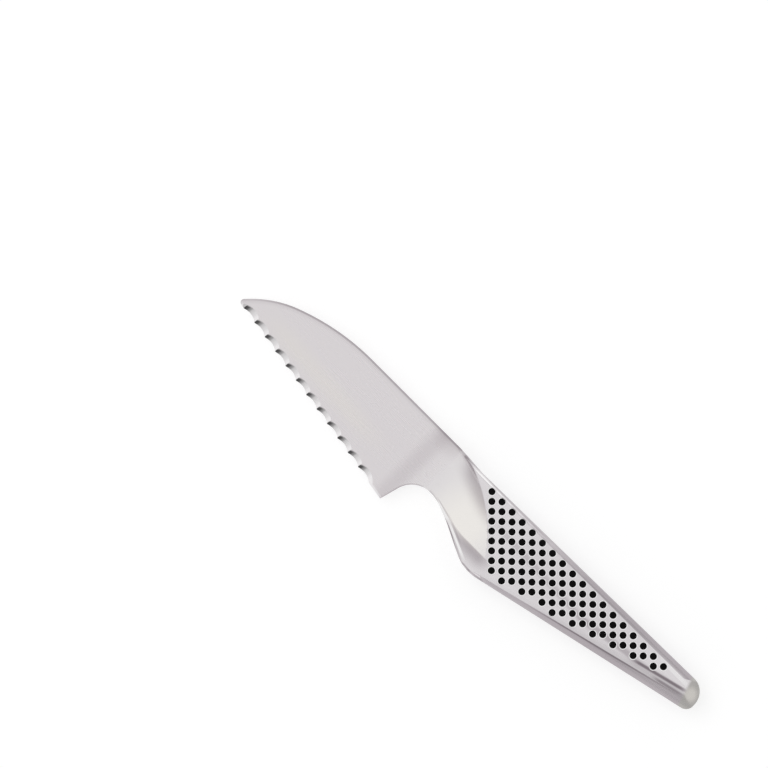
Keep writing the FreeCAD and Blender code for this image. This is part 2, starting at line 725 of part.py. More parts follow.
# The part's own frame: the middle of the outline over the face it lies on.
TIP_X = ("(sizes.tip_radius * (cos((sizes.tip_angle - sizes.edge_angle) / 2)"
         " / sin((sizes.tip_angle + sizes.edge_angle) / 2) - 1))")
TOP_Y = crown_line(f"({BUTT_X} - sizes.butt_spine_radius)")
CENTRE_X = f"(({TIP_X} + {BUTT_X}) / 2)"
CENTRE_Y = f"(({HEEL_Y} + {TOP_Y}) / 2)"
PLACE = f"placement(vector(-{CENTRE_X}; -{CENTRE_Y}; {FACE_Z}); rotation(0; 0; 0))"

nodes = []
for node, piece in PARTS.items():
    placed = doc.addObject("Part::Compound", node + "_placed")
    placed.Links = [piece]
    placed.Label = node
    placed.setExpression("Placement", PLACE)
    nodes.append(placed)
doc.recompute()

faults = [obj.Name for obj in doc.Objects if "Invalid" in obj.State or "Error" in obj.State]
faults += [obj.Label for obj in nodes if obj.Shape.isNull() or not obj.Shape.isValid()]
if faults:
    raise RuntimeError("failed: " + ", ".join(faults))

os.makedirs("parts", exist_ok=True)
for obj in nodes:
    obj.Shape.exportStep("parts/%s.step" % obj.Label)
    box = obj.Shape.optimalBoundingBox()
    corners = (box.XMin, box.YMin, box.ZMin, box.XMax, box.YMax, box.ZMax)
    print("%-22s %3d solids %9.2f mm3" % (obj.Label, len(obj.Shape.Solids), obj.Shape.Volume),
          [round(value, 3) for value in corners])
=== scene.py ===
"""Looks of the tomato knife: satin steel blade and handle with black lacquered dimples."""
import math

import bmesh
import bpy
from mathutils import Matrix, Vector

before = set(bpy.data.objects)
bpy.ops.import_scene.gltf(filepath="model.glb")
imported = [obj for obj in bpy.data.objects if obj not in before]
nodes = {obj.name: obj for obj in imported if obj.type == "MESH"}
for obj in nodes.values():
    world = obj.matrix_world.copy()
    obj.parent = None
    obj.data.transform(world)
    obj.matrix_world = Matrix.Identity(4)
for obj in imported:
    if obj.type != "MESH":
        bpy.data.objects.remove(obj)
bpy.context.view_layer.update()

# Places on the knife in mm, as in the model's own frame: X along it to the butt, Y across
# it to the spine, Z through it.
MM_PER_M = 1000
SPINE_CENTRE = (-56.18, -66.97)
SPINE_RADIUS = 82.0
NOSE_CENTRE = (-72.09, -25.91)
NOSE_RADIUS = 38.0
NOSE_END = -83.6
EDGE_START = (-101.0, -2.3)
EDGE_END = (-21.5, -15.6)
FIRST_TOOTH = 2.4
TOOTH_PITCH = 5.93
TOOTH_COUNT = 12
WELD_X = -12.975
RIDGE_CENTRE = (-23.2, -33.1)
RIDGE_RADIUS = 49.2
HALF_THICKNESS = 5.5

# Steels by their place: a warm one, painted light in the scoop and at the neck, a painted
# highlight, painted shade on the butt's cap and its blob, and lacquer at the rims.
WARM_STEEL = (0.81, 0.775, 0.755)
SCOOP_PAINTED_LIGHT = (0.96, 0.93, 0.895)
NECK_PAINTED_LIGHT = (0.85, 0.825, 0.83)
PAINTED_HIGHLIGHT = (0.98, 0.97, 0.97)
BLOB_PAINTED_SHADE = (0.66, 0.635, 0.60)
CAP_PAINTED_SHADE = (0.47, 0.455, 0.44)
RIM_LACQUER = (0.004, 0.003, 0.004)

# Powers of red, green and blue that make the painted shades on the steel lean to lilac.
LILAC = (1.0, 1.09, 1.03)

# Finishes of steel: two colours, least and most roughness, how strong the ground lines are,
# and their scale along X, Y and Z.
BLADE_FINISH = ((0.775, 0.738, 0.756), (0.793, 0.758, 0.771), (0.24, 0.32), 0.11,
                (220, 5200, 5200))
HANDLE_FINISH = ((0.76, 0.73, 0.75), (0.83, 0.80, 0.815), (0.20, 0.28), 0.2,
                 (300, 3800, 3800))

# Noise of the steels: detail and roughness of the lines and their share beside the clouds,
# scale, detail and roughness of the clouds, the values that give the two colours, and the
# depth of the relief in m.
LINE_DETAIL = (4.0, 0.65)
LINE_SHARE = 0.45
STEEL_CLOUDS = ((25, 90, 90), 3.0, 0.5)
STEEL_BLEND = (0.32, 0.68)
STEEL_RELIEF = 0.00002

# Lacquer and sand: colours, roughness, and the scale, detail and roughness of their noise.
LACQUER_COLOURS = ((0.001, 0.0008, 0.001), (0.004, 0.003, 0.0035))
LACQUER_ROUGHNESS = (0.18, 0.34)
LACQUER_GLOSS = 0.05
LACQUER_CLOUDS = ((900, 900, 900), 2.0, 0.5)
LACQUER_RELIEF = 0.00004
LACQUER_UNEVENNESS = 0.3
SAND_COLOURS = ((0.30, 0.22, 0.13), (0.74, 0.64, 0.46))
SAND_ROUGHNESS = 0.95
SAND_GRAINS = ((2500, 2500, 2500), 3.0, 0.6)
SAND_RELIEF = 0.0002

# Nearly all of a noise lies between these.
NOISE_RANGE = (0.3, 0.7)

# Down to the dimples' rims, a pair that isn't called a centre holds the two values between
# which a painted shade or light comes or goes, and a number called a shade says how dark it
# is.

# Shared by blade and handle: the neck, where the blade's colour turns into the scoop's painted
# light, and a painted shadow.
NECK = (-21.0, -6.0)
SPINE_SHADOW_CENTRE = (-18.0, 16.5)
SPINE_SHADOW = (2.0, 9.0)
SPINE_SHADOW_SHADE = 0.15

# Sharp edges: width in m of the rounding that finds them, its samples, and how far the weld
# keeps it off.
NOTCH_ROUNDING = 0.0015
OUTLINE_ROUNDING = 0.0016
ROUNDING_SAMPLES = 8
WELD_REACH = (1.2, 2.2)

# Teeth. The painted shade and light of a hollow run from its point towards the heel: place and
# grey. The slant is how far a hollow climbs in its own length.
HOLLOW_SHADES = [
    (0.0, 0.09), (0.14, 0.14), (0.28, 0.4), (0.44, 0.72), (0.65, 0.82), (0.9, 0.96),
]
HOLLOW_TINT = (1.0, 0.975, 0.985)
HOLLOW_SLANT = 0.55 * TOOTH_PITCH
HOLLOW_TOP = (3.0, 3.4)
HOLLOW_FRONT = (0.75, 1.3)
HOLLOW_FLATNESS = (0.95, 0.98)
LAST_TOOTH = (TOOTH_COUNT - 0.02, TOOTH_COUNT)
LAST_PLACE = 0.9

# Painted shade at the spine, neck and notch of the blade.
SPINE_LINE = (-0.85, -0.4)
SPINE_LINE_TIP = (-98.0, -88.0)
SPINE_LINE_LEAST = 0.3
SPINE_LINE_SHADE = 0.34
SPINE_HAZE = (-2.2, -0.3)
SPINE_HAZE_SHADE = 0.09
NECK_LINE_X = -21.8
NECK_LINE = (0.4, 5.0)
NECK_LINE_SHADE = 0.11
NOTCH_OPENNESS = (0.80, 0.97)
NOTCH_FRONT = (-23, -20)
NOTCH_TOP = (10, 12)
NOTCH_SHADE = 0.35

# Scoop, its crease from the first X and Y to the second, and the painted light in it.
SCOOP_RIM = (-0.35, 0.1)
SCOOP_FOOT = (-0.3, 2.0)
SCOOP_LEAST = 0.15
CREASE_X = (-9.0, 8.0)
CREASE_Y = (-2.7, -4.95)
LIGHT_CENTRE = (4.0, -1.0)
LIGHT = (3.0, 17.0)

# Sides: painted shade by how flat the surface lies, where wide and where narrow, and a painted
# highlight on the shoulder. UPPER tells the spine's side from the belly's.
WIDE_SIDE = [(0.50, 0.55), (0.70, 0.575), (0.80, 0.63), (0.89, 1.0)]
NARROW_SIDE = [(0.25, 0.6), (0.62, 1.0)]
UPPER = (3.0, 6.0)
UPPER_NARROW = (0.0, 46.0)
UPPER_NARROW_MOST = 0.95
LOWER_NARROW = (13.0, 24.0)
SHOULDER_FRONT = (0.0, 1.0)
SHOULDER_END = (-2.0, 34.0)
SHOULDER_FLATNESS = (0.8, 0.9)

# Painted shade at the outline, ridge and flare of the handle.
OUTLINE_OPENNESS = (0.80, 0.95)
OUTLINE_END = (20.0, 44.0)
OUTLINE_START = (-8.0, 14.0)
OUTLINE_LEAST = 0.5
OUTLINE_SHADE = 0.5
RIDGE_FRONT = (-6.5, -0.6)
RIDGE_BACK = (-0.25, 0.15)
RIDGE_HEIGHT = (1.0, 8.5)
RIDGE_START = (-13.5, -5.0)
RIDGE_SHADE = 0.36
FLARE_TOP = (0.0, 0.6)
FLARE_FOOT = (1.2, 6.4)
FLARE_START = (-6.0, 12.0)
FLARE_END = (15.0, 22.0)
FLARE_SHADE = 0.38

# Painted highlight on the rims of the dimples, with lacquer at their foot.
FACE_TOP = (13.1, 13.3)
FACE_FRONT = (0.0, 0.3)
RIM_STEEPEST = (0.70, 0.78)
RIM_FLATTEST = (0.84, 0.92)
RIM_FOOT = (5.2, 5.24)
LACQUER_TOP = (5.32, 5.33)

# Painted shade on the cap at the butt, left of a line from one point to another, paler at its
# blob.
CAP_LINE = ((95.0, 13.6), (96.9, 7.4))
CAP_EDGE = (-0.9, 0.5)
BLOB_CENTRE = (97.8, 11.2)
BLOB_EDGE = (0.3, 4.2)

# Soft dark streaks of painted shade on the handle: start, end, half width, share of the length
# that fades at each end, share of the half width that is even, and how dark.
STREAKS = [
    # dimpled face and belly side
    ((16.0, 4.0), (84.0, 9.0), 13.0, 0.2, 0.5, 0.07),
    ((30.0, -8.1), (97.0, 8.55), 0.42, 0.35, 0.3, 0.42),
    # towards the butt
    ((74.0, 5.4), (98.0, 11.4), 0.85, 0.2, 0.2, 0.64),
    ((83.0, 6.0), (99.0, 9.7), 0.8, 0.3, 0.2, 0.44),
    ((72.0, 4.6), (98.0, 10.2), 2.4, 0.25, 0.2, 0.18),
    ((8.0, 5.6), (62.0, 3.0), 1.7, 0.2, 0.2, 0.2),
    ((50.0, 2.8), (80.0, 7.0), 1.7, 0.25, 0.2, 0.3),
    # along the flare and its foot
    ((-9.0, -2.0), (1.0, -4.35), 0.45, 0.3, 0.2, 0.22),
    ((-1.5, -3.35), (9.5, -8.1), 0.45, 0.35, 0.2, 0.16),
    ((6.0, -8.5), (14.0, -12.2), 0.4, 0.35, 0.2, 0.2),
    ((12.0, -11.5), (17.5, -11.95), 0.45, 0.3, 0.2, 0.38),
    ((14.5, -12.1), (23.0, -11.1), 0.5, 0.25, 0.2, 0.38),
    # along the spine
    ((-16.0, 14.8), (-9.0, 14.35), 0.4, 0.2, 0.2, 0.3),
    ((-4.0, 14.05), (30.0, 14.1), 0.5, 0.25, 0.2, 0.25),
]

# Painted highlights as bright strips in the same form: two along the lip at the flare, one
# towards the butt.
LIPS = [
    ((-8.5, -2.55), (1.0, -5.3), 0.6, 0.3, 0.4, 1.0),
    ((-2.0, -4.15), (14.0, -11.1), 0.58, 0.3, 0.4, 1.0),
    ((80.0, 12.6), (98.0, 12.6), 1.0, 0.35, 0.4, 0.5),
]

# The warm band along the blade, in the same form.
WARM_BAND = ((-98.0, 1.0), (-28.0, -4.0), 5.5, 0.3, 0.0, 0.75)

# Camera, from the photograph: 3 pixels per mm, knife's axis turned by 45 degrees.
PHOTO_WIDTH = 0.256
PHOTO_CENTRE = Vector((-0.0476, 0.0121, 0.0075))
PHOTO_TURN = math.radians(45)
CAMERA_DISTANCE = 2.4
SENSOR = 36.0
CLIP_END = 20

# Surroundings, in m. The lamp's direction is the photograph's right, its up, and height.
FLOOR_SIZE = 6.0
FLOOR_DROP = 0.00002
FLOOR_GREY = 0.42
FLOOR_GLOW = 0.68
WORLD_LEVEL = 0.62
LAMP_DIRECTION = (-1.0, 0.6, 2.2)
LAMP_DISTANCE = 1.4
LAMP_SIZE = 1.2
LAMP_POWER = 5.0
TENT_RADIUS = 1.8
TENT_SEGMENTS = 64
TENT_RINGS = 32
TENT_FOOT = -0.05
TENT_LEVEL = 0.86
# Panels of the tent: turn, lean, inner and outer half angle in degrees, then level.
PANELS = [
    (0, 180, 76, 106, 0.5),
    (262, 50, 12, 30, 0.4),
]


# ---------------------------------------------------------------- node helpers

class Graph:
    """A material's or world's node tree, with short ways to add and join nodes."""

    def __init__(self, tree):
        self.tree = tree
        tree.nodes.clear()

    def add(self, kind, **settings):
        node = self.tree.nodes.new(kind)
        for name, value in settings.items():
            setattr(node, name, value)
        return node

    def join(self, source, target):
        self.tree.links.new(source, target)

    def math(self, operation, a, b=None, clamp=False):
        node = self.add("ShaderNodeMath", operation=operation, use_clamp=clamp)
        for socket, value in zip(node.inputs, (a, b)):
            if value is None:
                continue
            if isinstance(value, (int, float)):
                socket.default_value = value
            else:
                self.join(value, socket)
        return node.outputs[0]

    def product(self, first, *others):
        for other in others:
            first = self.math("MULTIPLY", first, other)
        return first

    def rest(self, share):
        """What a share leaves of the whole."""
        return self.math("SUBTRACT", 1.0, share)

    def less(self, tone, mask, amount):
        """A tone made darker by an amount wherever the mask is 1."""
        return self.product(tone, self.rest(self.product(mask, amount)))

    def split(self, vector):
        node = self.add("ShaderNodeSeparateXYZ")
        self.join(vector, node.inputs[0])
        return node.outputs

    def stretched(self, vector, scale):
        node = self.add("ShaderNodeMapping")
        node.inputs["Scale"].default_value = scale
        self.join(vector, node.inputs["Vector"])
        return node.outputs["Vector"]

    def dot(self, a, b):
        """Dot product of a socket with either a socket or a fixed vector."""
        node = self.add("ShaderNodeVectorMath", operation="DOT_PRODUCT")
        self.join(a, node.inputs[0])
        if isinstance(b, Vector):
            node.inputs[1].default_value = b
        else:
            self.join(b, node.inputs[1])
        return node.outputs["Value"]

    def noise(self, vector, scale, detail, roughness):
        """Noise with a scale for each axis."""
        node = self.add("ShaderNodeTexNoise")
        node.inputs["Scale"].default_value = 1.0
        node.inputs["Detail"].default_value = detail
        node.inputs["Roughness"].default_value = roughness
        self.join(self.stretched(vector, scale), node.inputs["Vector"])
        return node.outputs["Fac"]

    def span(self, value, low, high, out_low, out_high, smooth=False):
        """out_low up to low, out_high from high on, and a slope between them."""
        node = self.add("ShaderNodeMapRange", clamp=True)
        node.interpolation_type = "SMOOTHSTEP" if smooth else "LINEAR"
        for socket, number in zip(node.inputs[1:5], (low, high, out_low, out_high)):
            socket.default_value = number
        self.join(value, node.inputs[0])
        return node.outputs[0]

    def rise(self, value, limits):
        return self.span(value, *limits, 0, 1)

    def fall(self, value, limits):
        return self.span(value, *limits, 1, 0)

    def soft_rise(self, value, limits):
        return self.span(value, *limits, 0, 1, smooth=True)

    def soft_fall(self, value, limits):
        return self.span(value, *limits, 1, 0, smooth=True)

    def ramp(self, value, stops, interpolation="EASE"):
        """Colours or greys by a value from 0 to 1."""
        node = self.add("ShaderNodeValToRGB")
        node.color_ramp.interpolation = interpolation
        elements = node.color_ramp.elements
        while len(elements) < len(stops):
            elements.new(0.5)
        for element, (place, colour) in zip(elements, stops):
            if isinstance(colour, float):
                colour = (colour,) * 3
            element.position = place
            element.color = (*colour, 1)
        self.join(value, node.inputs["Fac"])
        return node.outputs["Color"]

    def mix(self, factor, a, b, blend="MIX"):
        node = self.add("ShaderNodeMix", data_type="RGBA", blend_type=blend)
        sockets = [s for s in node.inputs if s.type == "RGBA"]
        for socket, value in ((node.inputs[0], factor), (sockets[0], a), (sockets[1], b)):
            if isinstance(value, float):
                socket.default_value = value
            elif isinstance(value, tuple):
                socket.default_value = (*value, 1)
            else:
                self.join(value, socket)
        return [s for s in node.outputs if s.type == "RGBA"][0]


class Plan:
    """Masks over the knife's plan view, worked out from a point's place on it in mm."""

    def __init__(self, g, place):
        self.g = g
        self.x, self.y, self.z = g.split(g.stretched(place, (MM_PER_M,) * 3))

    def from_point(self, point):
        """Distances to the right of a point and above it."""
        g = self.g
        return g.math("SUBTRACT", self.x, point[0]), g.math("SUBTRACT", self.y, point[1])

    def from_x(self, x):
        """Distance to either side of a place along the knife."""
        return self.g.math("ABSOLUTE", self.g.math("SUBTRACT", self.x, x))

    def distance(self, point, straight=False):
        """Distance from a point, or from the straight line that starts there along X."""
        g = self.g
        right, up = self.from_point(point)
        if straight:
            right = g.math("MINIMUM", right, 0.0)
        return g.math("SQRT", g.math("ADD", g.product(right, right), g.product(up, up)))

    def beyond(self, centre, radius, straight=False):
        """Distance outside a circle, or above one that runs on straight along X."""
        return self.g.math("SUBTRACT", self.distance(centre, straight), radius)

    def offset(self, start, end):
        """Distance to the left of a straight line, and place along it from 0 to 1."""
        g = self.g
        run, rise = end[0] - start[0], end[1] - start[1]
        length = math.hypot(run, rise)
        right, up = self.from_point(start)
        left = g.math("SUBTRACT", g.product(up, run / length), g.product(right, rise / length))
        along = g.math("ADD", g.product(right, run / length ** 2),
                       g.product(up, rise / length ** 2))
        return left, along

    def streak(self, start, end, half_width, fade, core):
        """A soft stripe that dies away at both ends."""
        g = self.g
        left, along = self.offset(start, end)
        side = g.soft_fall(g.math("ABSOLUTE", left), (core * half_width, half_width))
        return g.product(side, g.soft_rise(along, (0, fade)),
                         g.soft_fall(along, (1 - fade, 1)))

    def flatness(self):
        """How flat the surface lies: 1 on a face, 0 on an upright wall."""
        g = self.g
        normal = g.split(g.add("ShaderNodeNewGeometry").outputs["Normal"])
        return g.math("ABSOLUTE", normal["Z"])

    def openness(self, radius):
        """1 on open surface and at the weld, less and less towards a sharp edge."""
        g = self.g
        rounded = g.add("ShaderNodeBevel", samples=ROUNDING_SAMPLES)
        rounded.inputs["Radius"].default_value = radius
        likeness = g.dot(rounded.outputs["Normal"],
                         g.add("ShaderNodeNewGeometry").outputs["Normal"])
        return g.math("MAXIMUM", likeness, g.fall(self.from_x(WELD_X), WELD_REACH))


# ------------------------------------------------------------------- materials

def new_material(name):
    material = bpy.data.materials.new(name)
    material.use_nodes = True
    return material, Graph(material.node_tree)


def new_surface(name):
    """A material with its graph, the place of a point on the piece, and a main shader."""
    material, g = new_material(name)
    place = g.add("ShaderNodeTexCoord").outputs["Object"]
    return material, g, place, g.add("ShaderNodeBsdfPrincipled")


def put_on_surface(g, shader, height, depth, strength=1.0):
    """Give a shader its fine relief and make it the material's surface."""
    bump = g.add("ShaderNodeBump")
    bump.inputs["Strength"].default_value = strength
    bump.inputs["Distance"].default_value = depth
    g.join(height, bump.inputs["Height"])
    g.join(bump.outputs["Normal"], shader.inputs["Normal"])
    g.join(shader.outputs[0], g.add("ShaderNodeOutputMaterial").inputs["Surface"])


def steel(name, paint, low, high, roughness, grain, grain_scale):
    """Satin steel: fine lines along X, cloudy colour, soft change in roughness, and the
    painted light and shade that paint lays over its shape."""
    material, g, place, shader = new_surface(name)
    shader.inputs["Metallic"].default_value = 1.0
    lines = g.noise(place, grain_scale, *LINE_DETAIL)
    clouds = g.noise(place, *STEEL_CLOUDS)
    blend = g.math("ADD", g.product(lines, LINE_SHARE), g.product(clouds, 1 - LINE_SHARE))
    colour = g.ramp(blend, list(zip(STEEL_BLEND, (low, high))), "LINEAR")
    g.join(paint(g, Plan(g, place), colour), shader.inputs["Base Color"])
    g.join(g.span(blend, *NOISE_RANGE, *roughness), shader.inputs["Roughness"])
    put_on_surface(g, shader, lines, STEEL_RELIEF, grain)
    return material


def toned(g, colour, tone):
    """A colour times a tone of painted shade, whose shades lean to lilac."""
    shade = g.add("ShaderNodeCombineColor")
    for socket, power in zip(shade.inputs, LILAC):
        g.join(g.math("POWER", tone, power), socket)
    return g.mix(1.0, colour, shade.outputs[0], "MULTIPLY")


def neck_blend(g, plan):
    """How far the blade's colour has turned into the scoop's painted light."""
    return g.soft_rise(plan.x, NECK)


def spine_shadow(g, plan, tone):
    """A soft shadow at the spine where the blade meets the neck."""
    near = g.soft_fall(plan.distance(SPINE_SHADOW_CENTRE), SPINE_SHADOW)
    return g.less(tone, near, SPINE_SHADOW_SHADE)


def shade_teeth(g, plan, colour):
    """Painted shade and light in the hollows of the teeth: dark at each point, pale before the
    next one.
    """
    from_edge, along = plan.offset(EDGE_START, EDGE_END)
    length = math.dist(EDGE_START, EDGE_END)
    turns = g.span(along, 0, 1, -FIRST_TOOTH / TOOTH_PITCH,
                   (length - FIRST_TOOTH) / TOOTH_PITCH)
    past_last = g.span(turns, *LAST_TOOTH, 0, LAST_PLACE)
    phase = g.math("MAXIMUM", g.math("FRACT", turns), past_last)
    depth = g.math("SUBTRACT", from_edge, g.product(phase, HOLLOW_SLANT))
    hollow = g.product(g.fall(from_edge, HOLLOW_TOP), g.fall(plan.flatness(), HOLLOW_FLATNESS),
                       g.fall(depth, HOLLOW_FRONT))
    shades = [(at, tuple(grey * part for part in HOLLOW_TINT)) for at, grey in HOLLOW_SHADES]
    return g.mix(hollow, colour, g.ramp(phase, shades))


def outside_spine(g, plan):
    """Distance outside the blade's spine and nose, less than 0 on the blade."""
    outside = plan.beyond(SPINE_CENTRE, SPINE_RADIUS, straight=True)
    at_nose = g.math("LESS_THAN", plan.x, NOSE_END)
    change = g.math("SUBTRACT", plan.beyond(NOSE_CENTRE, NOSE_RADIUS), outside)
    return g.math("ADD", outside, g.product(at_nose, change))


def paint_blade(g, plan, colour):
    """The blade's painted colour: a warm band along it, painted light towards the neck,
    painted shade and light in the hollows of the teeth, a painted dark line and haze at its
    spine, painted shade at the notch, and a painted soft shadow where it thickens into the
    neck."""
    *band, amount = WARM_BAND
    colour = g.mix(g.product(plan.streak(*band), amount), colour, WARM_STEEL)
    # painted light on the blade towards the neck
    colour = g.mix(neck_blend(g, plan), colour, NECK_PAINTED_LIGHT)
    colour = shade_teeth(g, plan, colour)
    # painted shade across the neck and at the spine beside it
    tone = g.less(1.0, g.soft_fall(plan.from_x(NECK_LINE_X), NECK_LINE), NECK_LINE_SHADE)
    tone = spine_shadow(g, plan, tone)
    # painted dark line and haze along the spine
    outside = outside_spine(g, plan)
    line = g.product(g.soft_rise(outside, SPINE_LINE),
                     g.span(plan.x, *SPINE_LINE_TIP, SPINE_LINE_LEAST, 1))
    tone = g.less(tone, line, SPINE_LINE_SHADE)
    tone = g.less(tone, g.soft_rise(outside, SPINE_HAZE), SPINE_HAZE_SHADE)
    # painted shade at the notch
    notch = g.product(g.fall(plan.openness(NOTCH_ROUNDING), NOTCH_OPENNESS),
                      g.rise(plan.x, NOTCH_FRONT), g.fall(plan.y, NOTCH_TOP))
    return toned(g, colour, g.less(tone, notch, NOTCH_SHADE))


def side_tone(g, plan, narrow_part):
    """Painted shade on upright walls, which are made darker than the faces. Where narrow_part
    is 1, only their outermost part is."""
    flat = plan.flatness()
    lost_wide = g.product(g.rest(g.ramp(flat, WIDE_SIDE)), g.rest(narrow_part))
    lost_narrow = g.product(g.rest(g.ramp(flat, NARROW_SIDE)), narrow_part)
    return g.math("SUBTRACT", g.rest(lost_wide), lost_narrow)


def paint_rims(g, plan, past_ridge, colour):
    """Painted highlight on the rims round the dimples, with lacquer at their foot."""
    height = g.math("ABSOLUTE", g.math("SUBTRACT", plan.z, HALF_THICKNESS))
    flat = plan.flatness()
    rim = g.product(g.fall(plan.y, FACE_TOP), g.rise(past_ridge, FACE_FRONT),
                    g.rise(flat, RIM_STEEPEST), g.fall(flat, RIM_FLATTEST),
                    g.rise(height, RIM_FOOT))
    return g.mix(rim, colour, g.mix(g.rise(height, LACQUER_TOP), RIM_LACQUER, PAINTED_HIGHLIGHT))


def paint_cap(g, plan, colour):
    """Painted shade on the butt's round end: warm grey with a paler blob."""
    cap = g.soft_rise(plan.offset(*CAP_LINE)[0], CAP_EDGE)
    from_blob = g.soft_rise(plan.distance(BLOB_CENTRE), BLOB_EDGE)
    return g.mix(cap, colour, g.ramp(from_blob, [(0.0, BLOB_PAINTED_SHADE), (1.0, CAP_PAINTED_SHADE)]))


def paint_handle(g, plan, colour):
    """The handle's painted light and shade: painted light in the scoop with a painted shade by
    the ridge, a painted shade under the crease and a painted highlight along the lip at the
    flare, painted shade on the sides and a painted highlight on the shoulder, painted streaks,
    painted highlights on the rims round the dimples, and painted shade on the butt's cap."""
    past_ridge = plan.beyond(RIDGE_CENTRE, RIDGE_RADIUS)
    scoop = g.soft_fall(past_ridge, SCOOP_RIM)
    under = g.math("SUBTRACT", g.span(plan.x, *CREASE_X, *CREASE_Y, smooth=True), plan.y)
    # painted light in the scoop
    above_foot = g.span(under, *SCOOP_FOOT, 1, SCOOP_LEAST, smooth=True)
    light = g.soft_fall(plan.distance(LIGHT_CENTRE), LIGHT)
    colour = g.mix(g.product(scoop, above_foot, neck_blend(g, plan)), colour,
                   g.mix(light, NECK_PAINTED_LIGHT, SCOOP_PAINTED_LIGHT))
    # painted highlight on the shoulder, then painted shade on the sides, narrow beside the
    # neck and wide towards the butt
    upper = g.rise(plan.y, UPPER)
    shoulder = g.product(upper, g.rise(past_ridge, SHOULDER_FRONT),
                         g.fall(plan.x, SHOULDER_END),
                         g.fall(plan.flatness(), SHOULDER_FLATNESS))
    colour = g.mix(shoulder, colour, PAINTED_HIGHLIGHT)
    upper_narrow = g.product(upper, g.span(plan.x, *UPPER_NARROW, UPPER_NARROW_MOST, 0))
    lower_narrow = g.product(g.rest(upper), g.fall(plan.x, LOWER_NARROW))
    narrow = g.math("MAXIMUM", g.math("ADD", upper_narrow, lower_narrow), scoop)
    tone = spine_shadow(g, plan, side_tone(g, plan, narrow))
    # painted dark line at the sharp outline
    outline = g.product(g.fall(plan.openness(OUTLINE_ROUNDING), OUTLINE_OPENNESS),
                        g.fall(plan.x, OUTLINE_END),
                        g.span(plan.x, *OUTLINE_START, OUTLINE_LEAST, 1))
    tone = g.less(tone, outline, OUTLINE_SHADE)
    # painted shade beside the ridge
    ridge = g.product(g.soft_rise(past_ridge, RIDGE_FRONT), g.fall(past_ridge, RIDGE_BACK),
                      g.soft_rise(plan.y, RIDGE_HEIGHT), g.soft_rise(plan.x, RIDGE_START))
    tone = g.less(tone, ridge, RIDGE_SHADE)
    # painted shade under the crease at the flare
    flare = g.product(g.soft_rise(under, FLARE_TOP), g.soft_fall(under, FLARE_FOOT),
                      g.soft_rise(plan.x, FLARE_START), g.soft_fall(plan.x, FLARE_END))
    tone = g.less(tone, flare, FLARE_SHADE)
    # painted shade in streaks and painted highlights in strips
    for *streak, amount in STREAKS:
        tone = g.less(tone, plan.streak(*streak), amount)
    colour = toned(g, colour, tone)
    for *strip, amount in LIPS:
        colour = g.mix(g.product(plan.streak(*strip), amount), colour, PAINTED_HIGHLIGHT)
    return paint_cap(g, plan, paint_rims(g, plan, past_ridge, colour))


def lacquer(name):
    """Glossy black paint with a faint unevenness."""
    material, g, place, shader = new_surface(name)
    clouds = g.noise(place, *LACQUER_CLOUDS)
    colour = g.ramp(clouds, list(zip(NOISE_RANGE, LACQUER_COLOURS)), "LINEAR")
    g.join(colour, shader.inputs["Base Color"])
    g.join(g.span(clouds, *NOISE_RANGE, *LACQUER_ROUGHNESS), shader.inputs["Roughness"])
    shader.inputs["Specular IOR Level"].default_value = LACQUER_GLOSS
    put_on_surface(g, shader, clouds, LACQUER_RELIEF, LACQUER_UNEVENNESS)
    return material


def sand(name):
    """Loose dry grain."""
    material, g, place, shader = new_surface(name)
    grains = g.noise(place, *SAND_GRAINS)
    colour = g.ramp(grains, list(zip(NOISE_RANGE, SAND_COLOURS)))
    g.join(colour, shader.inputs["Base Color"])
    shader.inputs["Roughness"].default_value = SAND_ROUGHNESS
    put_on_surface(g, shader, grains, SAND_RELIEF)
    return material


def dress(name, material):
    """Give a CAD node one material on all its faces."""
    slots = nodes[name].data.materials
    if not len(slots):
        slots.append(material)
    for i in range(len(slots)):
        slots[i] = material


blade_steel = steel("blade_steel", paint_blade, *BLADE_FINISH)
handle_steel = steel("handle_steel", paint_handle, *HANDLE_FINISH)
weld_steel = steel("weld_steel", paint_handle, *HANDLE_FINISH)
dimple_lacquer = lacquer("dimple_lacquer")

dress("blade", blade_steel)
for node in ("left_handle_shell", "right_handle_shell"):
    dress(node, handle_steel)
for node in ("neck_weld", "seam_weld", "filler_plug"):
    dress(node, weld_steel)
for node in ("left_dimple_lacquer", "right_dimple_lacquer"):
    dress(node, dimple_lacquer)
dress("sand_ballast", sand("ballast_sand"))


# ------------------------------------------------------------ floor and lights

def seen_direct(g):
    """1 for rays that show the background: from the camera, a reflection or through glass."""
    path = g.add("ShaderNodeLightPath")
    total = g.math("ADD", path.outputs["Is Camera Ray"], path.outputs["Is Glossy Ray"])
    return g.math("ADD", total, path.outputs["Is Transmission Ray"], clamp=True)


def floor_material():
    """Grey paper that takes a shadow, with a glow that makes it pale where it is seen."""
    material, g = new_material("floor_paper")
    diffuse = g.add("ShaderNodeBsdfDiffuse")
    diffuse.inputs["Color"].default_value = (FLOOR_GREY, FLOOR_GREY, FLOOR_GREY, 1)
    glow = g.add("ShaderNodeEmission")
    g.join(g.product(seen_direct(g), FLOOR_GLOW), glow.inputs["Strength"])
    both = g.add("ShaderNodeAddShader")
    g.join(diffuse.outputs[0], both.inputs[0])
    g.join(glow.outputs[0], both.inputs[1])
    g.join(both.outputs[0], g.add("ShaderNodeOutputMaterial").inputs["Surface"])
    return material


def lay_floor(size, height):
    """A square sheet that isn't part of the knife."""
    half = size / 2
    mesh = bpy.data.meshes.new("floor")
    mesh.from_pydata([(-half, -half, 0), (half, -half, 0), (half, half, 0), (-half, half, 0)],
                     [], [(0, 1, 2, 3)])
    sheet = bpy.data.objects.new("floor", mesh)
    mesh.materials.append(floor_material())
    sheet.matrix_world = Matrix.Translation((0, 0, height))
    bpy.context.scene.collection.objects.link(sheet)


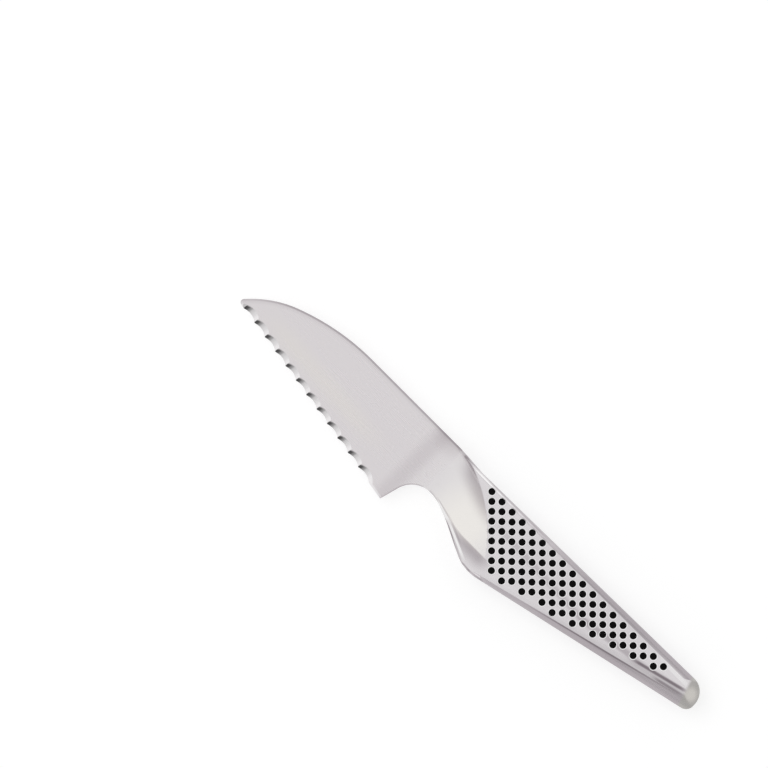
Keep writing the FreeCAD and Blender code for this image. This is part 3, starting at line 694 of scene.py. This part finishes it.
def make_world(level):
    """A white world where it is seen, with a lower level for the light it gives."""
    world = bpy.data.worlds.new("studio")
    bpy.context.scene.world = world
    world.use_nodes = True
    g = Graph(world.node_tree)
    background = g.add("ShaderNodeBackground")
    strength = g.math("ADD", g.product(seen_direct(g), 1 - level), level)
    g.join(strength, background.inputs["Strength"])
    background.inputs["Color"].default_value = (1, 1, 1, 1)
    g.join(background.outputs[0], g.add("ShaderNodeOutputWorld").inputs["Surface"])


def photo_direction(right, up, height):
    """A direction given in the photograph's own right and up."""
    cos, sin = math.cos(PHOTO_TURN), math.sin(PHOTO_TURN)
    return Vector((right * cos - up * sin, right * sin + up * cos, height))


def leaning(turn, lean):
    """A direction from its turn in the photograph, from the right hand side, and its angle
    from straight above, both in degrees."""
    turn, lean = math.radians(turn), math.radians(lean)
    return photo_direction(math.cos(turn) * math.sin(lean), math.sin(turn) * math.sin(lean),
                           math.cos(lean))


def hang_lamp(name, direction, distance, size, power):
    """A large square soft lamp that faces the knife and isn't mirrored in it."""
    light = bpy.data.lights.new(name, "AREA")
    light.shape = "SQUARE"
    light.size = size
    light.energy = power
    body = bpy.data.objects.new(name, light)
    direction = direction.normalized()
    turn = direction.to_track_quat("Z", "Y").to_matrix().to_4x4()
    body.matrix_world = Matrix.Translation(PHOTO_CENTRE + direction * distance) @ turn
    body.visible_glossy = False
    bpy.context.scene.collection.objects.link(body)


def tent_material(plain, panels):
    """An even glow with softly edged panels of another level."""
    material, g = new_material("tent")
    way = g.add("ShaderNodeVectorMath", operation="NORMALIZE")
    g.join(g.add("ShaderNodeTexCoord").outputs["Object"], way.inputs[0])
    shade = plain
    for turn, lean, inner, outer, level in panels:
        towards = g.dot(way.outputs["Vector"], leaning(turn, lean))
        limits = math.cos(math.radians(outer)), math.cos(math.radians(inner))
        blend = g.add("ShaderNodeMix", data_type="FLOAT")
        g.join(g.soft_rise(towards, limits), blend.inputs[0])
        if isinstance(shade, float):
            blend.inputs[2].default_value = shade
        else:
            g.join(shade, blend.inputs[2])
        blend.inputs[3].default_value = level
        shade = blend.outputs[0]
    glow = g.add("ShaderNodeEmission")
    g.join(shade, glow.inputs["Strength"])
    g.join(glow.outputs[0], g.add("ShaderNodeOutputMaterial").inputs["Surface"])
    return material


def pitch_tent(radius, plain, panels):
    """A soft pale dome that only reflections see, with darker panels."""
    mesh = bpy.data.meshes.new("tent")
    form = bmesh.new()
    bmesh.ops.create_uvsphere(form, u_segments=TENT_SEGMENTS, v_segments=TENT_RINGS,
                              radius=radius)
    low = [v for v in form.verts if v.co.z < TENT_FOOT]
    bmesh.ops.delete(form, geom=low, context="VERTS")
    form.to_mesh(mesh)
    form.free()
    dome = bpy.data.objects.new("tent", mesh)
    bpy.context.scene.collection.objects.link(dome)
    mesh.materials.append(tent_material(plain, panels))
    for ray in ("camera", "diffuse", "shadow", "transmission"):
        setattr(dome, "visible_" + ray, False)


lay_floor(FLOOR_SIZE, -FLOOR_DROP)
make_world(WORLD_LEVEL)
hang_lamp("key_lamp", photo_direction(*LAMP_DIRECTION), LAMP_DISTANCE, LAMP_SIZE, LAMP_POWER)
pitch_tent(TENT_RADIUS, TENT_LEVEL, PANELS)


# ---------------------------------------------------------------------- camera

lens = bpy.data.cameras.new("camera")
lens.sensor_width = SENSOR
lens.lens = SENSOR * CAMERA_DISTANCE / PHOTO_WIDTH
lens.clip_end = CLIP_END
camera = bpy.data.objects.new("camera", lens)
camera.matrix_world = (Matrix.Translation(PHOTO_CENTRE + Vector((0, 0, CAMERA_DISTANCE)))
                       @ Matrix.Rotation(PHOTO_TURN, 4, "Z"))
bpy.context.scene.collection.objects.link(camera)
bpy.context.scene.camera = camera
bpy.context.scene.view_settings.view_transform = "Standard"
